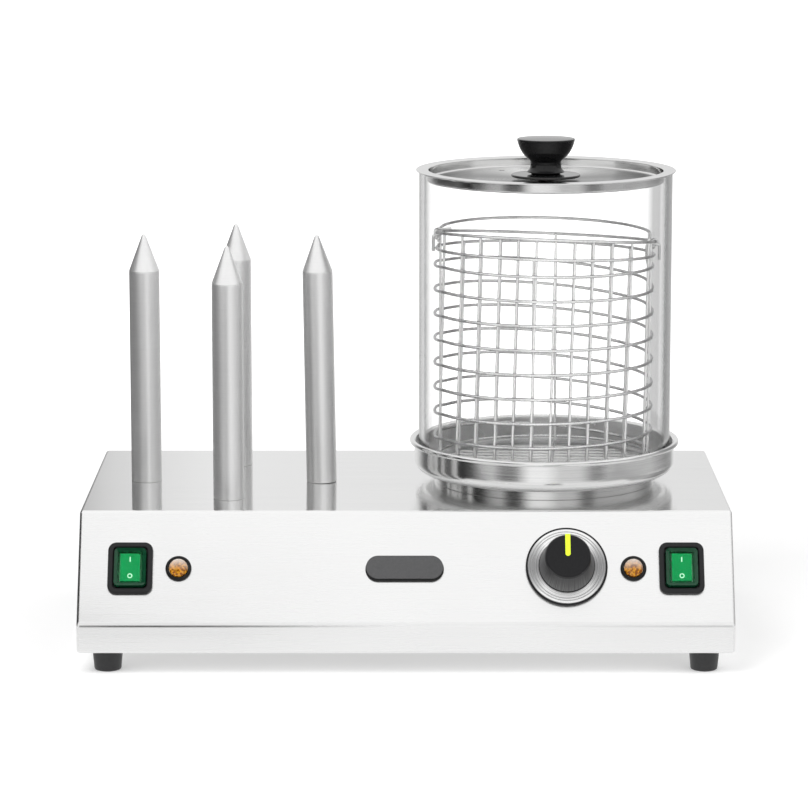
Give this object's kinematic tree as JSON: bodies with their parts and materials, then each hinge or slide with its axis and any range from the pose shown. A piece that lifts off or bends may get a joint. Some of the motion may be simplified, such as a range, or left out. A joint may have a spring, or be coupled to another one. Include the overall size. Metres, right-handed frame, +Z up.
{
  "type": "hot dog warmer",
  "caption": "Counter-top hot dog warmer: steel console with heated bun spikes, a glass steaming cylinder with wire basket and lid, rocker switches and a thermostat knob.",
  "frame": {"origin": "on the table, under the middle of the outline at rest", "axes": "+X to the right along the long side, +Y to the back wall, +Z up; the controls face -Y"},
  "size_m": [0.5, 0.318, 0.3922],
  "materials": {
    "steel_sheet": "fine brushed stainless",
    "steel_polished": "polished stainless",
    "steel_wire": "bright wire",
    "plated": "zinc-plated fasteners",
    "cast_heater": "cast",
    "element": "oxidised sheath",
    "rubber_black": "matte",
    "plastic_black": "glossy",
    "plastic_matt": "matte",
    "plastic_pale": "moulded terminal plastic",
    "badge_black": "bare glossy plate",
    "dial_silver": "turned rings",
    "pointer": "yellow-green fill",
    "glass_clear": "clear borosilicate",
    "boot_green": "translucent soft boot",
    "rocker_green": "lit green rocker",
    "lens_amber": "amber dome"
  },
  "bodies": {
    "housing": {"housing_shell": "steel_sheet", "base_plate": "steel_sheet", "rear_panel": "steel_sheet", "base_screws": "plated", "rear_screws": "plated", "rubber_feet": "rubber_black", "foot_screws": "plated", "left_spike": "steel_polished", "front_spike": "steel_polished", "back_spike": "steel_polished", "right_spike": "steel_polished", "spike_nuts": "plated", "spike_heaters": "element", "heater_collar": "steel_sheet", "heating_plate": "cast_heater", "plate_element": "element", "overheat_cutout": "plastic_matt", "left_switch_bezel": "plastic_black", "left_switch_boot": "boot_green", "left_switch_body": "plastic_matt", "right_switch_bezel": "plastic_black", "right_switch_boot": "boot_green", "right_switch_body": "plastic_matt", "left_lamp_bezel": "plastic_black", "left_lamp_lens": "lens_amber", "right_lamp_bezel": "plastic_black", "right_lamp_lens": "lens_amber", "lamp_bodies": "plastic_matt", "badge_plate": "badge_black", "dial_base": "plastic_matt", "dial_ring": "dial_silver", "thermostat_body": "plated", "thermostat_nut": "plated", "cable_gland": "plastic_matt", "gland_nut": "plastic_matt", "terminal_block": "plastic_pale"},
    "pan": {"water_pan": "steel_polished"},
    "glass": {"glass_cylinder": "glass_clear"},
    "basket": {"basket_front_uprights": "steel_wire", "basket_back_uprights": "steel_wire", "basket_floor": "steel_wire", "basket_top_ring": "steel_wire", "basket_hoop": "steel_wire", "basket_rings": "steel_wire", "bail_ears": "steel_wire"},
    "bail": {"bail_handle": "steel_wire"},
    "lid": {"lid_dish": "steel_polished", "lid_flange": "steel_polished", "lid_knob_base": "plastic_black", "lid_knob": "plastic_black", "lid_knob_screw": "plated"},
    "left_rocker": {"left_switch_rocker": "rocker_green"},
    "right_rocker": {"right_switch_rocker": "rocker_green"},
    "knob": {"thermostat_knob": "plastic_black", "knob_pointer": "pointer", "thermostat_shaft": "plated"}
  },
  "joints": [
    {"name": "pan_lift", "type": "slide", "parent": "housing", "child": "pan", "axis": [0, 0, 1], "range_m": [0, 0.03]},
    {"name": "glass_lift", "type": "slide", "parent": "pan", "child": "glass", "axis": [0, 0, 1], "range_m": [0, 0.06]},
    {"name": "basket_lift", "type": "slide", "parent": "glass", "child": "basket", "axis": [0, 0, 1], "range_m": [0, 0.26]},
    {"name": "lid_lift", "type": "slide", "parent": "basket", "child": "lid", "axis": [0, 0, 1], "range_m": [0, 0.07]},
    {"name": "bail_swing", "type": "hinge", "parent": "basket", "child": "bail", "pos_m": [0.11046, 0.02368, 0.3111], "axis": [0.9991, 0, -0.0419], "range_deg": [0, 90]},
    {"name": "left_rock", "type": "hinge", "parent": "housing", "child": "left_rocker", "pos_m": [-0.21, -0.12632, 0.07741], "axis": [-1, 0, 0], "range_deg": [0, 8]},
    {"name": "right_rock", "type": "hinge", "parent": "housing", "child": "right_rocker", "pos_m": [0.21, -0.12632, 0.07741], "axis": [-1, 0, 0], "range_deg": [0, 8]},
    {"name": "dial_turn", "type": "hinge", "parent": "housing", "child": "knob", "pos_m": [0.1224, -0.12661, 0.07887], "axis": [0, 0.8592, -0.5116], "range_deg": [0, 270]}
  ],
  "couplings": [
    {"joint": "bail_swing", "follows": "lid_lift", "rad_per_m": 22.43}
  ]
}
